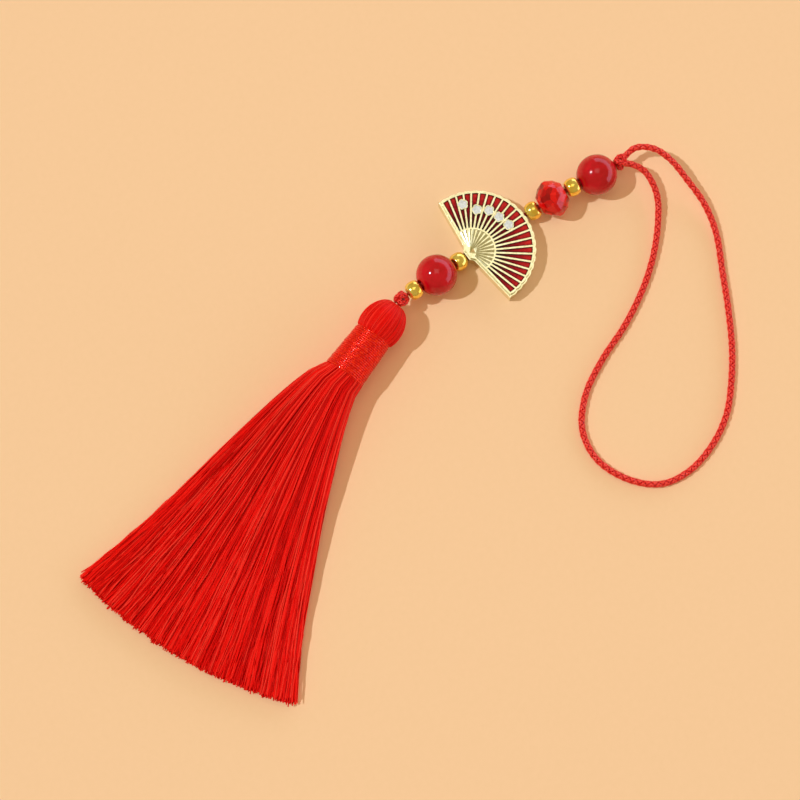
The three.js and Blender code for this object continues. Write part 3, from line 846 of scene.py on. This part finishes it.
def make_head(floss):
    """A dome of threads, each folded over the neck cord and running down into the wrap."""
    place = tassel_matrix()
    outline = [(HEAD_START + HEAD_CORE_GAP, 0)]
    for i in range(HEAD_ROWS + 1):
        x = HEAD_START + HEAD_CORE_GAP + (HEAD_LENGTH - 0.2) * i / HEAD_ROWS
        outline.append((x, head_radius(i / HEAD_ROWS) - HEAD_CORE_DEPTH))
    outline += [(WRAP_START, BUNDLE_R), (WRAP_END + 0.5, BUNDLE_R), (WRAP_END + 0.5, 0)]
    core = placed(mesh_object("head_core", spun(outline, 48)), place)
    lines = []
    for k in range(HEAD_THREADS):
        angle = math.tau * k / HEAD_THREADS + random.normal(0, HEAD_ANGLE_SPREAD)
        lean = random.normal(0, HEAD_LEAN_SPREAD)
        lift = random.uniform(-HEAD_LIFT, HEAD_LIFT)
        line = [(HEAD_START + 0.9, 0.8, angle), (HEAD_START, 0.95, angle)]
        for i in range(HEAD_THREAD_STEPS + 1):
            t = i / HEAD_THREAD_STEPS
            radius = head_radius(t) - HEAD_THREAD_DEPTH + lift
            line.append((HEAD_START + HEAD_LENGTH * t, radius, angle + lean * t))
        line.append((WRAP_START + 0.3, WRAP_R0 - 0.45, angle + lean))
        lines.append([
            place @ (Vector((x, r * math.cos(a), r * math.sin(a))) * MM) for x, r, a in line
        ])
    threads = tubes("head_threads", lines, HEAD_THREAD_R * MM)
    finish_piece(core, "tassel", floss, "silk", "tassel_head")
    finish_piece(threads, "tassel", floss, "silk")


def make_wrap(lurex):
    """The wound neck: one thread round and round over a sleeve, with no two turns quite alike."""
    place = tassel_matrix()
    steps = WRAP_TURNS * WRAP_STEPS_A_TURN
    pitch = (WRAP_END - WRAP_START - 0.3) / WRAP_TURNS
    wobble = np.repeat(random.normal(0, WRAP_WOBBLE, WRAP_TURNS + 1), WRAP_STEPS_A_TURN)[: steps + 1]
    wobble = np.convolve(np.r_[wobble, wobble[-1:]], np.ones(WRAP_BLUR) / WRAP_BLUR, "same")[: steps + 1]
    line = []
    for i in range(steps + 1):
        turn = i / WRAP_STEPS_A_TURN
        x = WRAP_START + 0.15 + pitch * turn
        share = turn / WRAP_TURNS
        r = WRAP_R0 + (WRAP_R1 - WRAP_R0) * share - WRAP_THREAD_DEPTH + wobble[i]
        line.append(place @ (Vector((x, r * math.cos(math.tau * turn), r * math.sin(math.tau * turn))) * MM))
    thread = tubes("wrap_thread", [line], WRAP_THREAD_R * MM, roundness=1)
    outline = [
        (WRAP_START, WRAP_R0 - SLEEVE_INNER_DEPTH), (WRAP_START, WRAP_R0 - SLEEVE_OUTER_DEPTH),
        (WRAP_END, WRAP_R1 - SLEEVE_OUTER_DEPTH), (WRAP_END, WRAP_R1 - SLEEVE_INNER_DEPTH),
    ]
    sleeve = placed(mesh_object("wrap_sleeve", spun(outline, 64)), place)
    finish_piece(sleeve, "tassel", lurex, "metallic_thread", "tassel_wrap")
    finish_piece(thread, "tassel", lurex, "metallic_thread")


def skirt_section(t):
    """Half width, top, bottom and squareness of the spread threads at a share of their length."""
    waist = SKIRT_WAIST * math.sin(math.pi * t**1.6)
    half = SKIRT_MOUTH_HALF + (SKIRT_END_HALF - SKIRT_MOUTH_HALF) * t - waist
    fall = (1 - t) ** 2
    top = SKIRT_END_THICKNESS + (SKIRT_MOUTH_Z + SKIRT_MOUTH_HALF - SKIRT_END_THICKNESS) * fall
    bottom = SKIRT_TABLE_GAP + (SKIRT_MOUTH_Z - SKIRT_MOUTH_HALF - SKIRT_TABLE_GAP) * fall
    return half, top, bottom, 2 + 3 * t


def thread_line(across, layer, length, sway, wave):
    """One thread from the wrap's mouth to its cut end; across and layer run from -1 to 1."""
    points = []
    size, count, phase = wave
    for i in range(THREAD_STEPS + 1):
        t = i / THREAD_STEPS
        half, top, bottom, squareness = skirt_section(t)
        u = across + sway[0] * math.sin(math.pi * t) + sway[1] * t
        u = max(-SKIRT_EDGE_LIMIT, min(SKIRT_EDGE_LIMIT, u))
        bend = min(abs(u), SKIRT_CURVE_LIMIT)
        rise = ((top - bottom) / 2 - THREAD_R) * (1 - bend**squareness) ** (1 / squareness)
        drift = u * (half - SKIRT_MOUTH_HALF)
        x = math.sqrt(max(0, (length * t) ** 2 - drift**2)) - SKIRT_TUCK * (1 - t)
        bow = -SKIRT_BEND * math.sin(math.pi * t**0.5)
        wander = size * t * math.sin(math.tau * count * t + phase)
        y = u * half * SKIRT_FILL + bow + wander
        depth = max(-1.0, min(1.0, layer + sway[2] * t))
        points.append((x, y, (top + bottom) / 2 + depth * rise))
    return points


def make_skirt(floss):
    """Loose threads lying in a spread fan, gathered a little in small bunches, their ends cut level."""
    mouth = tassel_matrix() @ Matrix.Translation((WRAP_END * MM, 0, 0)) @ Matrix.Rotation(SKIRT_YAW, 4, "Z")
    mouth = Matrix.Translation((0, 0, -JOINTS["tassel_lift"]["pos_m"][2])) @ mouth
    for lock in range(LOCK_COUNT):
        lines = []
        for _ in range(LOCK_THREADS):
            across = -1 + 2 * (lock + random.uniform(0.02, 0.98)) / LOCK_COUNT
            bunch = round(across * BUNCHES_A_SIDE + random.normal(0, BUNCH_BLUR)) / BUNCHES_A_SIDE
            layer = random.uniform(-1, 1)
            bow, drift, rise = (random.normal(0, spread) for spread in THREAD_SWAY)
            sway = (bow, (bunch - across) * BUNCH_PULL + drift, rise)
            wave = (abs(random.normal(0, THREAD_WAVE)), random.uniform(*THREAD_WAVE_COUNT), random.uniform(0, math.tau))
            length = SKIRT_LENGTH + random.normal(0, THREAD_END_SPREAD)
            length -= THREAD_SHORT_SHARE * abs(random.normal(0, THREAD_END_SPREAD))
            lines.append([mouth @ (Vector(p) * MM) for p in thread_line(across, layer, length, sway, wave)])
        obj = tubes(f"skirt_threads_{lock + 1}", lines, THREAD_R * MM)
        finish_piece(obj, "tassel", floss, "silk", f"skirt_lock_{lock + 1}")


# ---------------------------------------------------------------- the scene

bpy.context.scene.view_settings.view_transform = "Standard"
make_camera()
yarn = braid_yarn()
make_loop(yarn)
make_lights()
make_floor()
make_strings(core_yarn())
make_knot("top_knot_strand", "loop_knot", "top_knot", turned_to(
    JOINTS["loop_swing"]["pos_m"], level(JOINTS["spacer_1_spin"]["axis"])), KNOT_SIZE, yarn)
make_knot("tassel_knot_strand", "swivel_knot", "tassel_knot", tassel_matrix(), KNOT_SIZE, yarn)
make_spacers(polished_gold())
make_round_beads(red_glass())
make_crystal(cut_crystal())
make_fan(cast_pale_gold(), vitreous_enamel(), pearl_enamel())
floss = silk_thread("dyed_silk_floss", SILK_STOPS, 0.42)
make_head(floss)
make_wrap(metallic_floss())
make_skirt(floss)
